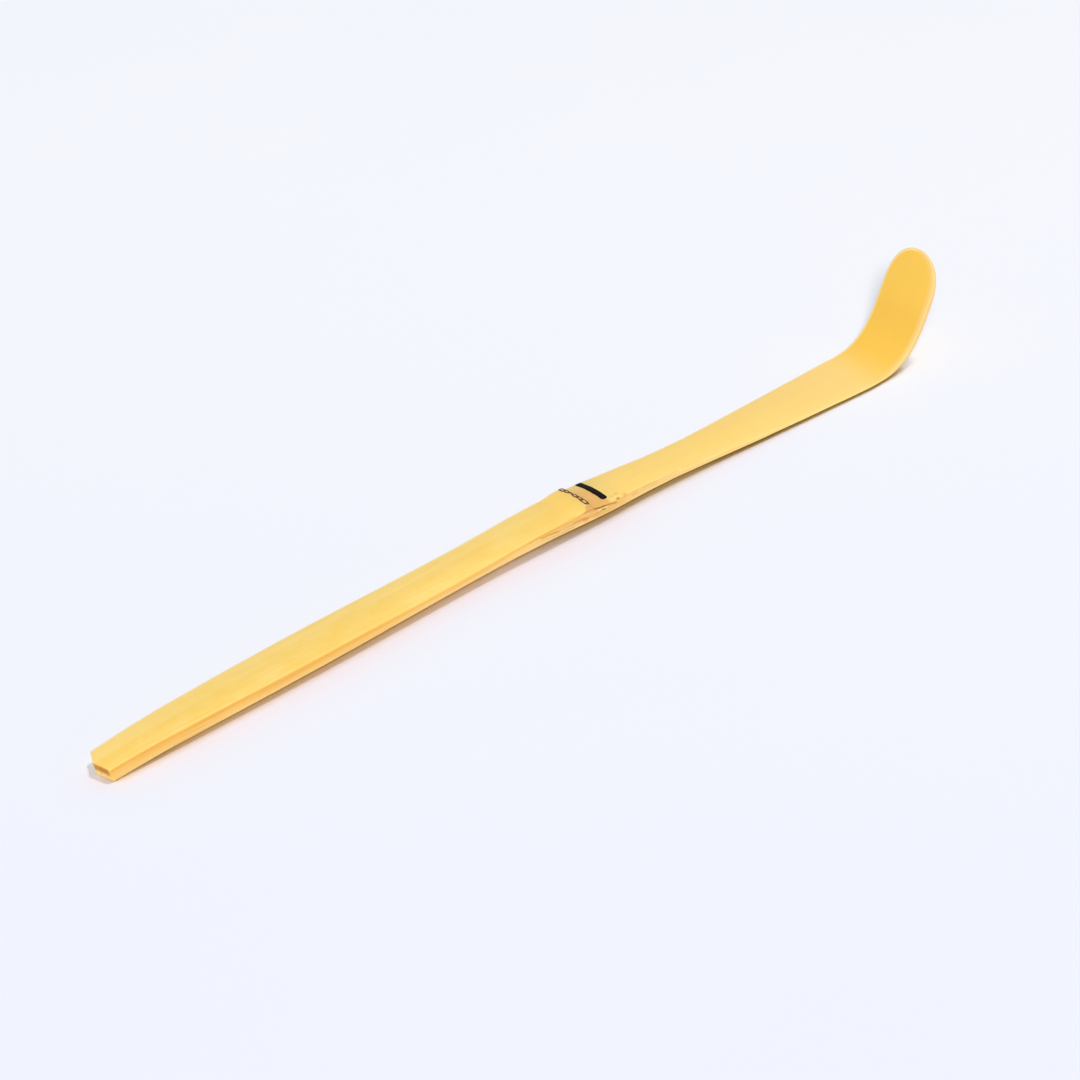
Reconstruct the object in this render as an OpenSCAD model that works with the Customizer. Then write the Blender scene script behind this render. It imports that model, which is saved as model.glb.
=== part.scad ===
// Bamboo tea scoop, carved and steam-bent from one split strip of a culm.
// The skin of the culm is the top face. The strip lies on its cut end and on the back of its bend,
// with the node held a little above the table. Stations are millimetres along the underside,
// counted from the cut end. +X runs towards the scoop, +Z is up.

/* [Handle] */
// Length from the cut end to the sheath scar
handle_l = 92.9; // [70:0.1:110]
// Width at the cut end
cut_w = 5.3; // [4:0.1:8]
// Width of the handle where the heel joins it
heel_w = 6.6; // [4:0.1:9]
// Width of the handle at its fullest
palm_w = 7.3; // [5:0.1:10]
// Distance from the cut end to the fullest part
palm_at = 40; // [30:1:50]
// Width of the handle where it draws in before the node
grip_w = 6.8; // [5:0.1:9]
// Distance from that narrow part to the sheath scar
grip_before_scar = 23; // [14:1:30]
// Width across the node
node_w = 7.4; // [5.5:0.1:10]
// Distance from the sheath scar to the widest part of the node
node_after_scar = 1.5; // [0:0.5:4]
// Thickness of the edge at the cut end
cut_t = 2.3; // [1.4:0.1:3]
// Thickness of the edge along the handle
handle_t = 1.7; // [1:0.1:2.5]
// Thickness of the edge at the node
node_t = 2; // [1.3:0.1:3]
// Length over which the heel droops
heel_l = 18; // [10:1:25]
// Angle by which the heel droops
heel_turn = 4.7; // [0:0.1:6]

/* [Neck] */
// Length from the sheath scar to the middle of the bend
neck_l = 70.7; // [55:0.1:90]
// Width at the waist past the node
waist_w = 6.4; // [4:0.1:9]
// Distance from the sheath scar to the waist
waist_from_scar = 19.5; // [12:0.1:24]
// Width of the shoulder before the bend
shoulder_w = 8.9; // [5:0.1:12]
// Distance from the shoulder to the middle of the bend
shoulder_from_bend = 24.7; // [18:0.1:30]
// Thickness of the edge halfway along the neck
neck_t = 1.3; // [0.8:0.1:2]
// Width where the bend starts
throat_w = 10.1; // [6:0.1:14]
// Thickness of the edge where the bend starts
throat_t = 0.85; // [0.6:0.05:1.6]
// Angle by which the strip turns down over the node
node_turn = 3.5; // [1:0.1:6]
// Length over which it turns down, centred before the scar
node_turn_l = 20.3; // [12:0.1:26]
// Distance from the middle of that turn to the sheath scar
node_turn_before = 9.1; // [5:0.1:12]
// Angle by which the neck levels out again, halfway between the scar and the bend
neck_turn = 2.6; // [0:0.1:4]
// Length over which it levels out
neck_turn_l = 36; // [20:1:44]

/* [Bend and blade] */
// Angle of the steamed bend
bend_angle = 66.6; // [30:0.1:80]
// Length over which the strip is bent
bend_l = 16.9; // [12:0.1:24]
// Length from the middle of the bend to the tip
blade_l = 18.5; // [15:0.1:30]
// Further angle by which the blade curls up to its tip
blade_curl = 14.2; // [0:0.1:20]
// Width of the blade
blade_w = 10.3; // [7:0.1:14]
// Thickness of the edge where the bend ends
blade_t = 1.2; // [0.7:0.1:1.8]
// Thickness of the edge towards the tip
tip_t = 0.85; // [0.5:0.05:1.4]
// Share of that thickness left at the very end of the tip
tip_thinned = 0.6; // [0.4:0.05:1]
// Length of the rounded tip
tip_l = 7.5; // [5:0.1:9]
// Fullness of the tip, where 2 is an ellipse
tip_fullness = 2.3; // [1.6:0.1:3]
// Crown of the skin across the blade
blade_crown = 0.15; // [0:0.05:0.5]

/* [Section] */
// Radius of the culm that the strip was split from
culm_r = 18; // [12:1:40]
// Rounding of the two upper edges
upper_round = 0.3; // [0.1:0.05:0.4]
// Bevel of the two lower edges
lower_bevel = 0.25; // [0.1:0.05:0.4]
// Sideways bow of the whole strip
side_bow = 0.7; // [0:0.1:2]
// Swelling of the skin just before the sheath scar
scar_swell = 0.35; // [0:0.05:0.5]
// Length of that swelling
scar_swell_l = 6; // [4:0.5:12]
// Distance from the top of that swelling to the sheath scar
swell_before = 1.7; // [0:0.1:3]

/* [Cut end] */
// Distance of the ridge between the two end cuts from the centre line
ridge_off = 0.35; // [-1:0.05:1]
// Sweep of the cut on the near side of the ridge
near_sweep = 14; // [0:1:25]
// Sweep of the cut on the far side of the ridge
far_sweep = 30; // [0:1:45]
// Undercut of both end cuts
undercut = 12; // [0:1:20]

/* [Node marks] */
// Distance from the sheath scar to the black line
line_from_scar = 3.2; // [2:0.1:5]
// Width of the black line
line_w = 0.95; // [0.5:0.05:1.4]
// Distance from the near edge at which the marks stop
marks_inset = 1; // [0.4:0.1:2]
// Widest part of the sheath scar
scar_w = 0.65; // [0.4:0.05:1.2]
// Number of slivers in the sheath scar
scar_slivers = 3; // [2:1:7]
// Depth of the grooves that hold the marks
groove_d = 0.25; // [0.15:0.05:0.5]
// Height of the marks above the skin
marks_proud = 0.08; // [0.02:0.02:0.2]
// Clearance between a mark and the walls of its groove
marks_gap = 0.02; // [0.01:0.01:0.05]

/* [Hidden] */

// Stations of the features along the strip
scar_at = handle_l;
line_at = scar_at + line_from_scar;
bend_at = handle_l + neck_l;
strip_l = bend_at + blade_l;
bend_start = bend_at - bend_l / 2;
bend_end = bend_at + bend_l / 2;
tip_at = strip_l - tip_l;
node_turn_at = scar_at - node_turn_before;
neck_mid = (scar_at + bend_start) / 2;

// How far a cutting shape reaches past what it cuts
past = 1;

// Each turn of the side profile: its middle, the length it takes and its angle
turns = [
    [heel_l / 2, heel_l, -heel_turn],
    [node_turn_at, node_turn_l, -node_turn],
    [neck_mid, neck_turn_l, neck_turn],
    [bend_at, bend_l, bend_angle],
    [(bend_end + strip_l) / 2, strip_l - bend_end, blade_curl]
];

// Width of the top face at named stations
width_at = [
    [0, cut_w],
    [heel_l, heel_w],
    [palm_at, palm_w],
    [scar_at - grip_before_scar, grip_w],
    [scar_at + node_after_scar, node_w],
    [scar_at + waist_from_scar, waist_w],
    [bend_at - shoulder_from_bend, shoulder_w],
    [bend_start, throat_w],
    [bend_end, blade_w],
    [tip_at, blade_w]
];

// Thickness of the edges at named stations
edge_at = [
    [0, cut_t],
    [scar_at - grip_before_scar, handle_t],
    [scar_at, node_t],
    [neck_mid, neck_t],
    [bend_start, throat_t],
    [bend_end, blade_t],
    [strip_l, tip_t]
];

function total(v, i = 0) = i < len(v) ? v[i] + total(v, i + 1) : 0;
function clamp01(t) = min(max(t, 0), 1);
function ease(t) = let (u = clamp01(t)) u * u * (3 - 2 * u);
function bump(t) = abs(t) < 1 ? pow(1 - t * t, 2) : 0;

// Smooth curve through the points of a list of [station, value]
function slope_at(k, i) =
    let (a = max(i - 1, 0), b = min(i + 1, len(k) - 1))
    (k[b][1] - k[a][1]) / (k[b][0] - k[a][0]);
function span_of(k, s, i = 0) = i >= len(k) - 2 || s < k[i + 1][0] ? i : span_of(k, s, i + 1);
function curve(k, s) =
    let (
        x = min(max(s, k[0][0]), k[len(k) - 1][0]),
        i = span_of(k, x),
        h = k[i + 1][0] - k[i][0],
        t = (x - k[i][0]) / h
    )
    (2 * pow(t, 3) - 3 * t * t + 1) * k[i][1]
    + (pow(t, 3) - 2 * t * t + t) * h * slope_at(k, i)
    + (3 * t * t - 2 * pow(t, 3)) * k[i + 1][1]
    + (pow(t, 3) - t * t) * h * slope_at(k, i + 1);

// Pitch of the underside before the strip is laid down, as the sum of its turns
function own_pitch(s) = total([for (q = turns) q[2] * ease((s - q[0]) / q[1] + 0.5)]);

// Stations of the sections: close together where the strip turns, spread out where it runs straight,
// and drawn together towards the round tip, where the last section is all but closed
function spread(from, to, step) =
    let (n = max(1, round((to - from) / step)))
    [for (i = [0:n - 1]) from + (to - from) * i / n];
wide_step = 3;
mid_step = 1.5;
close_step = 0.6;
marks_reach = 6;
tip_rings = 12;
tip_sweep = 88;
stations = concat(
    spread(0, heel_l, mid_step),
    spread(heel_l, node_turn_at - node_turn_l / 2, wide_step),
    spread(node_turn_at - node_turn_l / 2, scar_at - marks_reach, mid_step),
    spread(scar_at - marks_reach, line_at + marks_reach, close_step),
    spread(line_at + marks_reach, bend_start, wide_step),
    spread(bend_start, bend_end, close_step),
    spread(bend_end, tip_at, close_step),
    [for (i = [0:tip_rings]) tip_at + tip_l * sin(tip_sweep * i / tip_rings)]
);
last = len(stations) - 1;

// The underside in side view, walked from section to section, then laid down so that the heel and
// the back of the bend both touch the table
function stride(i) =
    let (a = own_pitch((stations[i] + stations[i + 1]) / 2), d = stations[i + 1] - stations[i])
    d * [cos(a), sin(a)];
own_path = [
    for (i = 0, p = [0, 0]; i <= last; p = i < last ? p + stride(i) : p, i = i + 1) p
];
heel_run = cut_t * tan(undercut);
heel = heel_run * [cos(own_pitch(0)), sin(own_pitch(0))];
lay_down = min([
    for (i = [0:last])
        let (d = own_path[i] - heel)
        if (stations[i] > scar_at) atan2(d[1], d[0])
]);
function laid(p) =
    let (d = p - heel)
    [d[0] * cos(lay_down) + d[1] * sin(lay_down), d[1] * cos(lay_down) - d[0] * sin(lay_down)];
path = [for (p = own_path) laid(p)];
function pitch(s) = own_pitch(s) - lay_down;

// Width, edge thickness and crown of the section at a station
function tip_cap(s) = pow(max(0, 1 - pow(clamp01((s - tip_at) / tip_l), tip_fullness)), 1 / tip_fullness);
function width(s) = curve(width_at, s) * tip_cap(s);
function edge(s) =
    (curve(edge_at, s) + scar_swell * bump((s - scar_at + swell_before) / (scar_swell_l / 2)))
    * (tip_thinned + (1 - tip_thinned) * tip_cap(s));
function culm_crown(s) = culm_r - sqrt(culm_r * culm_r - width(s) * width(s) / 4);
function crown(s) =
    let (f = ease((s - neck_mid) / (bend_at - neck_mid)))
    (1 - f) * culm_crown(s) + f * blade_crown * tip_cap(s);
function bow(s) = side_bow * 4 * (s / strip_l) * (1 - s / strip_l);

// Height of the skin over the underside, where u runs from -1 at the near edge to 1 at the far one
function skin_height(s, u) = edge(s) + crown(s) * (1 - u * u);

// A point of section i, at the distance y across it and the height h over its underside
function on_section(i, y, h) =
    let (s = stations[i], a = pitch(s))
    [path[i][0] - h * sin(a), bow(s) + y, path[i][1] + h * cos(a)];

// Outline of a section: bevelled lower edges, upright sides, rounded upper edges, crowned skin
skin_steps = 10;
function section(i) =
    let (
        s = stations[i],
        b = width(s) / 2,
        r = min(upper_round, b / 3, edge(s) / 3),
        c = min(lower_bevel, b / 3, edge(s) / 3),
        inner = b - r
    )
    concat(
        [on_section(i, c - b, 0)],
        [on_section(i, b - c, 0)],
        [on_section(i, b, c)],
        [
            for (a = [0, 30, 60])
                on_section(i, inner + r * cos(a), skin_height(s, 1) - r + r * sin(a))
        ],
        [
            for (k = [0:skin_steps])
                let (y = inner * (1 - 2 * k / skin_steps))
                on_section(i, y, skin_height(s, y / b))
        ],
        [
            for (a = [60, 30, 0])
                on_section(i, -inner - r * cos(a), skin_height(s, 1) - r + r * sin(a))
        ],
        [on_section(i, -b, c)]
    );

// Skin a run of equal rings of n points, closed at both ends
module loft(rings) {
    n = len(rings[0]);
    ends = len(rings) - 1;
    points = [for (ring = rings) for (p = ring) p];
    sides = [
        for (i = [0:ends - 1])
            for (k = [0:n - 1])
                let (a = i * n + k, b = i * n + (k + 1) % n)
                each [[a, a + n, b + n], [a, b + n, b]]
    ];
    near_cap = [for (k = [0:n - 1]) k];
    far_cap = [for (k = [n - 1:-1:0]) ends * n + k];
    polyhedron(points = points, faces = concat(sides, [near_cap, far_cap]));
}

// The layer between two heights over the skin, along the node, reaching past both edges by over
node_rings = [
    for (i = [0:last])
        if (stations[i] > scar_at - marks_reach / 2 && stations[i] < line_at + marks_reach / 2) i
];
module skin_layer(low, high, over) {
    loft([
        for (i = node_rings)
            let (s = stations[i], b = width(s) / 2)
            concat(
                [
                    for (k = [0:skin_steps])
                        let (y = (b + over) * (2 * k / skin_steps - 1))
                        on_section(i, y, skin_height(s, y / b) + low)
                ],
                [
                    for (k = [skin_steps:-1:0])
                        let (y = (b + over) * (2 * k / skin_steps - 1))
                        on_section(i, y, skin_height(s, y / b) + high)
                ]
            )
    ]);
}

// Raise a plan outline through the strip at a station
function station_x(s) = lookup(s, [for (i = [0:last]) [stations[i], path[i][0]]]);
marks_top = on_section(node_rings[0], 0, skin_height(scar_at, 0) + past)[2];
module across(s) {
    translate([station_x(s), bow(s), 0])
        linear_extrude(marks_top + past)
            children();
}

// Plan outlines of the marks, which run off the far edge and stop before the near one. Each can be
// widened by a gap g. The black line has rounded corners at its near end.
module line_plan(g) {
    near_y = marks_inset - width(line_at) / 2;
    far_y = width(line_at) / 2 + past;
    corner = line_w / 3;
    body = far_y - near_y - corner;
    translate([-line_w / 2 - g, near_y + corner])
        square([line_w + 2 * g, body]);
    translate([-line_w / 2 + corner, near_y - g])
        square([line_w - 2 * corner, corner + 2 * g]);
    for (x = [-1, 1])
        translate([x * (line_w / 2 - corner), near_y + corner])
            circle(r = corner + g, $fn = 24);
}

// The sheath scar is a chain of slivers, drawn in where one meets the next
sliver_steps = 8;
drawn_in = 0.3;
module scar_plan(g) {
    near_y = marks_inset - width(scar_at) / 2 - g;
    far_y = width(scar_at) / 2 + past;
    steps = scar_slivers * sliver_steps;
    side = [
        for (k = [0:steps])
            let (swell = drawn_in + (1 - drawn_in) * abs(sin(180 * k / sliver_steps)))
            [scar_w / 2 * swell + g, near_y + (far_y - near_y) * k / steps]
    ];
    polygon(concat(side, [for (k = [steps:-1:0]) [-side[k][0], side[k][1]]]));
}

// The two knife cuts that finish the cut end: they meet in a ridge and lean in to the underside
ridge_top = on_section(0, ridge_off, skin_height(0, 2 * ridge_off / width(0)));
module end_cuts() {
    knife = 4 * cut_w;
    for (sweep = [near_sweep, -far_sweep])
        translate(ridge_top)
            rotate([0, 0, sweep])
                rotate([0, -undercut, 0])
                    translate([-knife, -knife / 2, -knife / 2])
                        cube(knife);
}

// Middle of the finished scoop's footprint, which is the origin
all_points = [for (i = [1:last]) each section(i)];
origin = [
    (ridge_top[0] + max([for (p = all_points) p[0]])) / 2,
    (min([for (p = all_points) p[1]]) + max([for (p = all_points) p[1]])) / 2,
    min([for (p = all_points) p[2]])
];

module bamboo_strip() {
    color([0.98, 0.83, 0.45])
        translate(-origin)
            difference() {
                loft([for (i = [0:last]) section(i)]);
                end_cuts();
                intersection() {
                    skin_layer(-groove_d, past, past);
                    union() {
                        across(scar_at) scar_plan(marks_gap);
                        across(line_at) line_plan(marks_gap);
                    }
                }
            }
}

module sheath_scar() {
    color([0.6, 0.4, 0.18])
        translate(-origin)
            intersection() {
                skin_layer(-groove_d, marks_proud, 0);
                across(scar_at) scar_plan(0);
            }
}

module node_line() {
    color([0.07, 0.07, 0.06])
        translate(-origin)
            intersection() {
                skin_layer(-groove_d, marks_proud, 0);
                across(line_at) line_plan(0);
            }
}

bamboo_strip();
sheath_scar();
node_line();
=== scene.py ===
# %% [markdown]
# This scoop for powdered tea is carved from one split strip of bamboo, and steam bends its end up. The packed
# CAD part fixes every size and place, so it is loaded first. All lengths below are metres in its frame: +X
# runs from the cut end to the scoop, +Z is up, and the table is at height zero.

import bmesh
import bpy
import numpy as np
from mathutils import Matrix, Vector


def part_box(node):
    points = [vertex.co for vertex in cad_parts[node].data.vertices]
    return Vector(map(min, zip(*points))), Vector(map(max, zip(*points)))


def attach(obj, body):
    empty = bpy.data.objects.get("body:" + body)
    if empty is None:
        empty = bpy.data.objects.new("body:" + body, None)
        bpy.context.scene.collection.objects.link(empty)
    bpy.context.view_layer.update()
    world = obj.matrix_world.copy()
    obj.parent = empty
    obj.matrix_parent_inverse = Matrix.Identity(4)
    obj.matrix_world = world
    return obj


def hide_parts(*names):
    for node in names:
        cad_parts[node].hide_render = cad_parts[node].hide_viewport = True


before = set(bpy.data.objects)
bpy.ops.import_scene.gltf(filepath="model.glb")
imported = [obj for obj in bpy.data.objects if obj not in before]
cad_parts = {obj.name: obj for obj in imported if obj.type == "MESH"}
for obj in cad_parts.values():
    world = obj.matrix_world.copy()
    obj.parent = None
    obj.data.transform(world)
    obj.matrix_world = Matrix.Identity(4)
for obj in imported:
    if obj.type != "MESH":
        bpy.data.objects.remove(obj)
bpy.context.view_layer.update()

strip_low, strip_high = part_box("bamboo_strip")
print("CAD nodes:", sorted(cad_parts))

# %% [markdown]
# The CAD strip is right in shape but coarse for a close look, so it is drawn again here as a finer surface,
# from the same driving sizes. A station is the distance along the underside from the cut end, as a maker
# marks it on the strip before it is bent.

# %% Driving sizes of the strip
MM = 0.001
handle_l = 92.9 * MM
neck_l = 70.7 * MM
blade_l = 18.5 * MM
bend_l = 16.9 * MM
tip_l = 7.5 * MM
tip_fullness = 2.3
tip_thinned = 0.6
heel_l = 18 * MM
palm_at = 40 * MM
grip_before_scar = 23 * MM
node_after_scar = 1.5 * MM
waist_from_scar = 19.5 * MM
shoulder_from_bend = 24.7 * MM
line_from_scar = 3.2 * MM

scar_at = handle_l
line_at = scar_at + line_from_scar
bend_at = handle_l + neck_l
bend_start = bend_at - bend_l / 2
bend_end = bend_at + bend_l / 2
strip_l = bend_at + blade_l
tip_at = strip_l - tip_l
neck_mid = (scar_at + bend_start) / 2

width_at = [
    (0, 5.3 * MM),
    (heel_l, 6.6 * MM),
    (palm_at, 7.3 * MM),
    (scar_at - grip_before_scar, 6.8 * MM),
    (scar_at + node_after_scar, 7.4 * MM),
    (scar_at + waist_from_scar, 6.4 * MM),
    (bend_at - shoulder_from_bend, 8.9 * MM),
    (bend_start, 10.1 * MM),
    (bend_end, 10.3 * MM),
    (tip_at, 10.3 * MM),
]
edge_at = [
    (0, 2.3 * MM),
    (scar_at - grip_before_scar, 1.7 * MM),
    (scar_at, 2.0 * MM),
    (neck_mid, 1.3 * MM),
    (bend_start, 0.85 * MM),
    (bend_end, 1.2 * MM),
    (strip_l, 0.85 * MM),
]
turns = [
    # middle and length of each turn, and its angle in degrees, where up is positive
    (heel_l / 2, heel_l, -4.7),
    (scar_at - 9.1 * MM, 20.3 * MM, -3.5),
    (neck_mid, 36 * MM, 2.6),
    (bend_at, bend_l, 66.6),
    ((bend_end + strip_l) / 2, strip_l - bend_end, 14.2),
]
print(f"the strip is {strip_l / MM:.1f} mm long, with its node at {scar_at / MM:.1f} mm")

# %% [markdown]
# Three small curves shape everything: a smooth step, a rounded hump and a smooth line through given points.
# Each takes a whole array at once.

# %% Curves
def ease(t):
    """Smooth step: t is held between 0 and 1, then t squared times (3 - 2 t)."""
    held = np.clip(t, 0, 1)
    return held * held * (3 - 2 * held)


def hump(t):
    """A hump from -1 to 1: one minus t squared, squared. It is zero outside."""
    return np.maximum(1 - np.square(t), 0) ** 2


def curve(points, s):
    """Cubic curve through (station, value) points. The slope at a point is that of the line from the point
    before it to the point after it."""
    at, value = np.array(points, float).T
    before = np.maximum(np.arange(len(at)) - 1, 0)
    after = np.minimum(np.arange(len(at)) + 1, len(at) - 1)
    slope = (value[after] - value[before]) / (at[after] - at[before])
    s = np.clip(s, at[0], at[-1])
    i = np.clip(np.searchsorted(at, s, side="right") - 1, 0, len(at) - 2)
    span = at[i + 1] - at[i]
    t = (s - at[i]) / span
    start = (2 * t**3 - 3 * t**2 + 1) * value[i] + (t**3 - 2 * t**2 + t) * span * slope[i]
    end = (3 * t**2 - 2 * t**3) * value[i + 1] + (t**3 - t**2) * span * slope[i + 1]
    return start + end


def value_noise(u, v, seed):
    """Smooth random heights from -1 to 1: a table of random numbers at whole u and v, joined by the smooth
    step along both."""
    table = np.random.default_rng(seed).uniform(-1, 1, (256, 256))
    row, column = np.floor(u).astype(int), np.floor(v).astype(int)
    a, b = ease(u - row), ease(v - column)
    here, ahead = row % 256, (row + 1) % 256
    left, right = column % 256, (column + 1) % 256
    low = table[here, left] * (1 - a) + table[ahead, left] * a
    high = table[here, right] * (1 - a) + table[ahead, right] * a
    return low * (1 - b) + high * b


print(f"the node is {curve(width_at, scar_at) / MM:.2f} mm wide")

# %% [markdown]
# Seen from the side, the strip droops at the heel, turns down over the node, levels out along the neck and
# rises into the blade. The pitch at a station is the sum of these turns, and walking along it gives the
# underside. Laid down, the scoop rests on its heel and on the back of its bend.

# %% Side profile
undercut = np.radians(12)
walk_n = 3643
walk = np.linspace(0, strip_l, walk_n)


def own_pitch(s):
    """Pitch before the strip is laid down: the sum of the turns, each one a smooth step over its length."""
    return sum(np.radians(angle) * ease((s - middle) / length + 0.5) for middle, length, angle in turns)


stride = np.diff(walk)
halfway = own_pitch((walk[1:] + walk[:-1]) / 2)
walk_x = np.concatenate([[0], np.cumsum(stride * np.cos(halfway))])
walk_z = np.concatenate([[0], np.cumsum(stride * np.sin(halfway))])
heel_x = edge_at[0][1] * np.tan(undercut)
past_node = walk > scar_at
lay_down = np.arctan2(walk_z[past_node], walk_x[past_node] - heel_x).min()


def pitch(s):
    """Pitch of the underside as the scoop lies on the table."""
    return own_pitch(s) - lay_down


under_x = (walk_x - heel_x) * np.cos(lay_down) + walk_z * np.sin(lay_down)
under_z = walk_z * np.cos(lay_down) - (walk_x - heel_x) * np.sin(lay_down)
under_x += strip_high.x - under_x[-1]
arch = under_z[walk < bend_at].max()
print(f"laid down by {np.degrees(-lay_down):.2f} degrees, highest underside {arch / MM:.2f} mm")

# %% [markdown]
# Across the strip, the skin keeps the curve of the culm that it was split from, and flattens towards the
# blade. It swells at the node, where the dry sheath once grew. The knife has bevelled both edges, planed the
# near edge down midway along the handle and thinned the neck from below.

# %% Section of the strip
culm_r = 18 * MM
blade_crown = 0.15 * MM
side_bow = 0.7 * MM
upper_round = 0.3 * MM
handle_bevel, neck_bevel, bevel_grows_over = 0.12 * MM, 0.25 * MM, 15 * MM
neck_hollow = 0.4 * MM
hollow_after_scar, hollow_grows_over, hollow_ends_over = 7 * MM, 14 * MM, 10 * MM
planed_at, planed_l, planed_off = 63 * MM, 40 * MM, 0.44 * MM
near_flare = 1.07
scar_swell = 0.35 * MM
scar_swell_l = 6 * MM
swell_before = 1.7 * MM


def tip_cap(s):
    """Share of the width left in the rounded tip: a superellipse."""
    along = np.clip((s - tip_at) / tip_l, 0, 1)
    return np.maximum(1 - along**tip_fullness, 0) ** (1 / tip_fullness)


def half_width(s):
    """Half the width of the strip before its tip is rounded."""
    return curve(width_at, s) / 2


def edge(s):
    """Thickness at the edges: its curve, the swelling at the node and the thinned tip."""
    swelling = scar_swell * hump((s - scar_at + swell_before) / (scar_swell_l / 2))
    return (curve(edge_at, s) + swelling) * (tip_thinned + (1 - tip_thinned) * tip_cap(s))


def crown(s):
    """Rise of the skin at mid width: the culm's own circle, blended into a nearly flat blade."""
    culm = culm_r - np.sqrt(culm_r**2 - half_width(s) ** 2)
    share = ease((s - neck_mid) / (bend_at - neck_mid))
    return (1 - share) * culm + share * blade_crown * tip_cap(s)


def bevel_size(s):
    """Bevel under both edges, which grows past the node."""
    return handle_bevel + (neck_bevel - handle_bevel) * ease((s - scar_at) / bevel_grows_over)


def hollow(s):
    """How far the knife has thinned the neck from below. It starts past the node and ends in the bend."""
    grown = ease((s - scar_at - hollow_after_scar) / hollow_grows_over)
    return neck_hollow * grown * ease((bend_at - s) / hollow_ends_over)


def near_planed(s, level):
    """How much the knife has taken off the skin towards the near edge, where level is -1, midway along the
    handle. It grows with the square of the level."""
    return planed_off * hump((s - planed_at) / (planed_l / 2)) * np.clip(-level, 0, 1) ** 2


def bow(s):
    """Sideways bow of the strip, which puts the middle of its footprint on the X axis."""
    bent = side_bow * 4 * (s / strip_l) * (1 - s / strip_l)
    return bent + bow_shift


bow_shift = 0
bow_shift = strip_low.y - (bow(walk) - half_width(walk) * tip_cap(walk)).min()


def place(s, y, h):
    """The point at station s, y across the strip and h above the underside, square to it."""
    lean = pitch(s)
    x = np.interp(s, walk, under_x) - h * np.sin(lean)
    z = np.interp(s, walk, under_z) + h * np.cos(lean)
    return np.stack([x, y + bow(s), z], -1)


node_top = place(scar_at, 0.0, edge(scar_at) + crown(scar_at))
print(f"skin at the node {node_top[2] / MM:.2f} mm above the table")

# %% [markdown]
# One ring of points goes round the section: skin, rounded near edge, near side, bevel, underside, and the
# same again up the far side. Each point says how far it lies in from the outline and how high, in shares of
# the rounding and the bevel, and which way is out. Every ring of the strip is then this one ring, scaled.

# %% One ring round the section
skin_n, arc_n, side_n, bevel_n, under_n = 48, 5, 10, 2, 32


def stretch(across, in_round=0, in_bevel=0, share=0, up_round=0, up_bevel=0, out_y=0, out_h=0):
    """A stretch of the ring, one row a point: its place across, its inset and height, and its normal."""
    parts = np.broadcast_arrays(across, in_round, in_bevel, share, up_round, up_bevel, out_y, out_h)
    return np.stack(parts, -1).astype(float)


arc = np.linspace(np.pi / 2, 0, arc_n + 1)[1:]
down = np.linspace(1, 0, side_n + 1)[1:]
cut = np.linspace(0, 1, bevel_n + 1)[1:]
slant = np.sqrt(0.5)
skin_rows = stretch(np.linspace(1, -1, skin_n + 1), in_round=1, share=1, out_h=1)
near_rows = np.concatenate([
    stretch(-1, 1 - np.cos(arc), 0, 1, np.sin(arc) - 1, 0, -np.cos(arc), np.sin(arc)),
    stretch(-1, 0, 0, down, -down, 1 - down, -1, 0),
    stretch(-1, 0, cut, 0, 0, 1 - cut, -slant, -slant),
])
under_rows = stretch(np.linspace(-1, 1, under_n + 1)[1:-1], in_bevel=1, out_h=-1)
far_rows = near_rows[::-1] * [-1, 1, 1, 1, 1, 1, -1, 1]
ring = np.concatenate([skin_rows, near_rows, under_rows, far_rows])
across, in_round, in_bevel, share, up_round, up_bevel, out_y, out_h = ring.T
skin_mask = np.clip(out_h, 0, 1) ** 2
print(len(ring), "points round the strip")

# %% [markdown]
# The rings stand close together where something happens: at the cut end, the node, the bend and the tip.
# In the tip they follow the superellipse by its angle, so the rim is smooth to its very end.

# %% Rings along the strip
end_round = 0.1 * MM
end_n = 4
tip_n = 34
spacing = [
    # up to this station, the rings stand about this far apart
    (heel_l, 0.5 * MM),
    (scar_at - 20 * MM, 0.6 * MM),
    (scar_at - 4 * MM, 0.3 * MM),
    (line_at + 4 * MM, 0.08 * MM),
    (line_at + 14 * MM, 0.3 * MM),
    (bend_start, 0.5 * MM),
    (tip_at, 0.2 * MM),
]


def spread(start, stop, step):
    """Stations from start to just before stop, about one step apart."""
    return np.linspace(start, stop, max(1, round((stop - start) / step)), endpoint=False)


end_turn = np.linspace(0, np.pi / 2, end_n, endpoint=False)
tip_turn = np.linspace(0, np.pi / 2, tip_n + 1)
starts_at = [end_round] + [station for station, _ in spacing]
ring_s = np.concatenate([
    end_round * (1 - np.cos(end_turn)),
    *(spread(start, stop, step) for start, (stop, step) in zip(starts_at, spacing)),
    tip_at + tip_l * np.sin(tip_turn) ** (2 / tip_fullness),
])
ring_cap = np.ones_like(ring_s)
ring_cap[-tip_n - 1:] = np.cos(tip_turn) ** (2 / tip_fullness)
ring_cap[-1] = 0
ring_drawn_in = np.zeros_like(ring_s)
ring_drawn_in[:end_n] = end_round * (1 - np.sin(end_turn))

outline = half_width(ring_s) * ring_cap
heading = np.stack([np.gradient(ring_s), np.gradient(outline)], -1)
heading /= np.linalg.norm(heading, axis=1, keepdims=True)
heading[-1] = 0, -1
inward_s, inward_y = heading[:, 1], -heading[:, 0]
print(len(ring_s), "rings,", len(ring_s) * len(ring), "points in all")

# %% [markdown]
# A knife finished the cut end with two strokes that meet in a ridge and lean in towards the table. In the
# mesh each fibre simply starts where it meets the farther of the two cuts, so the facets are exact planes.

# %% Knife cuts at the end
ridge_off = 0.35 * MM
near_sweep, far_sweep = np.radians(14), np.radians(30)
ridge_top = place(0.0, ridge_off, edge(0.0) + crown(0.0) * (1 - (ridge_off / half_width(0.0)) ** 2))
cut_fade = 8 * MM
settling_passes = 3


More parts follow.
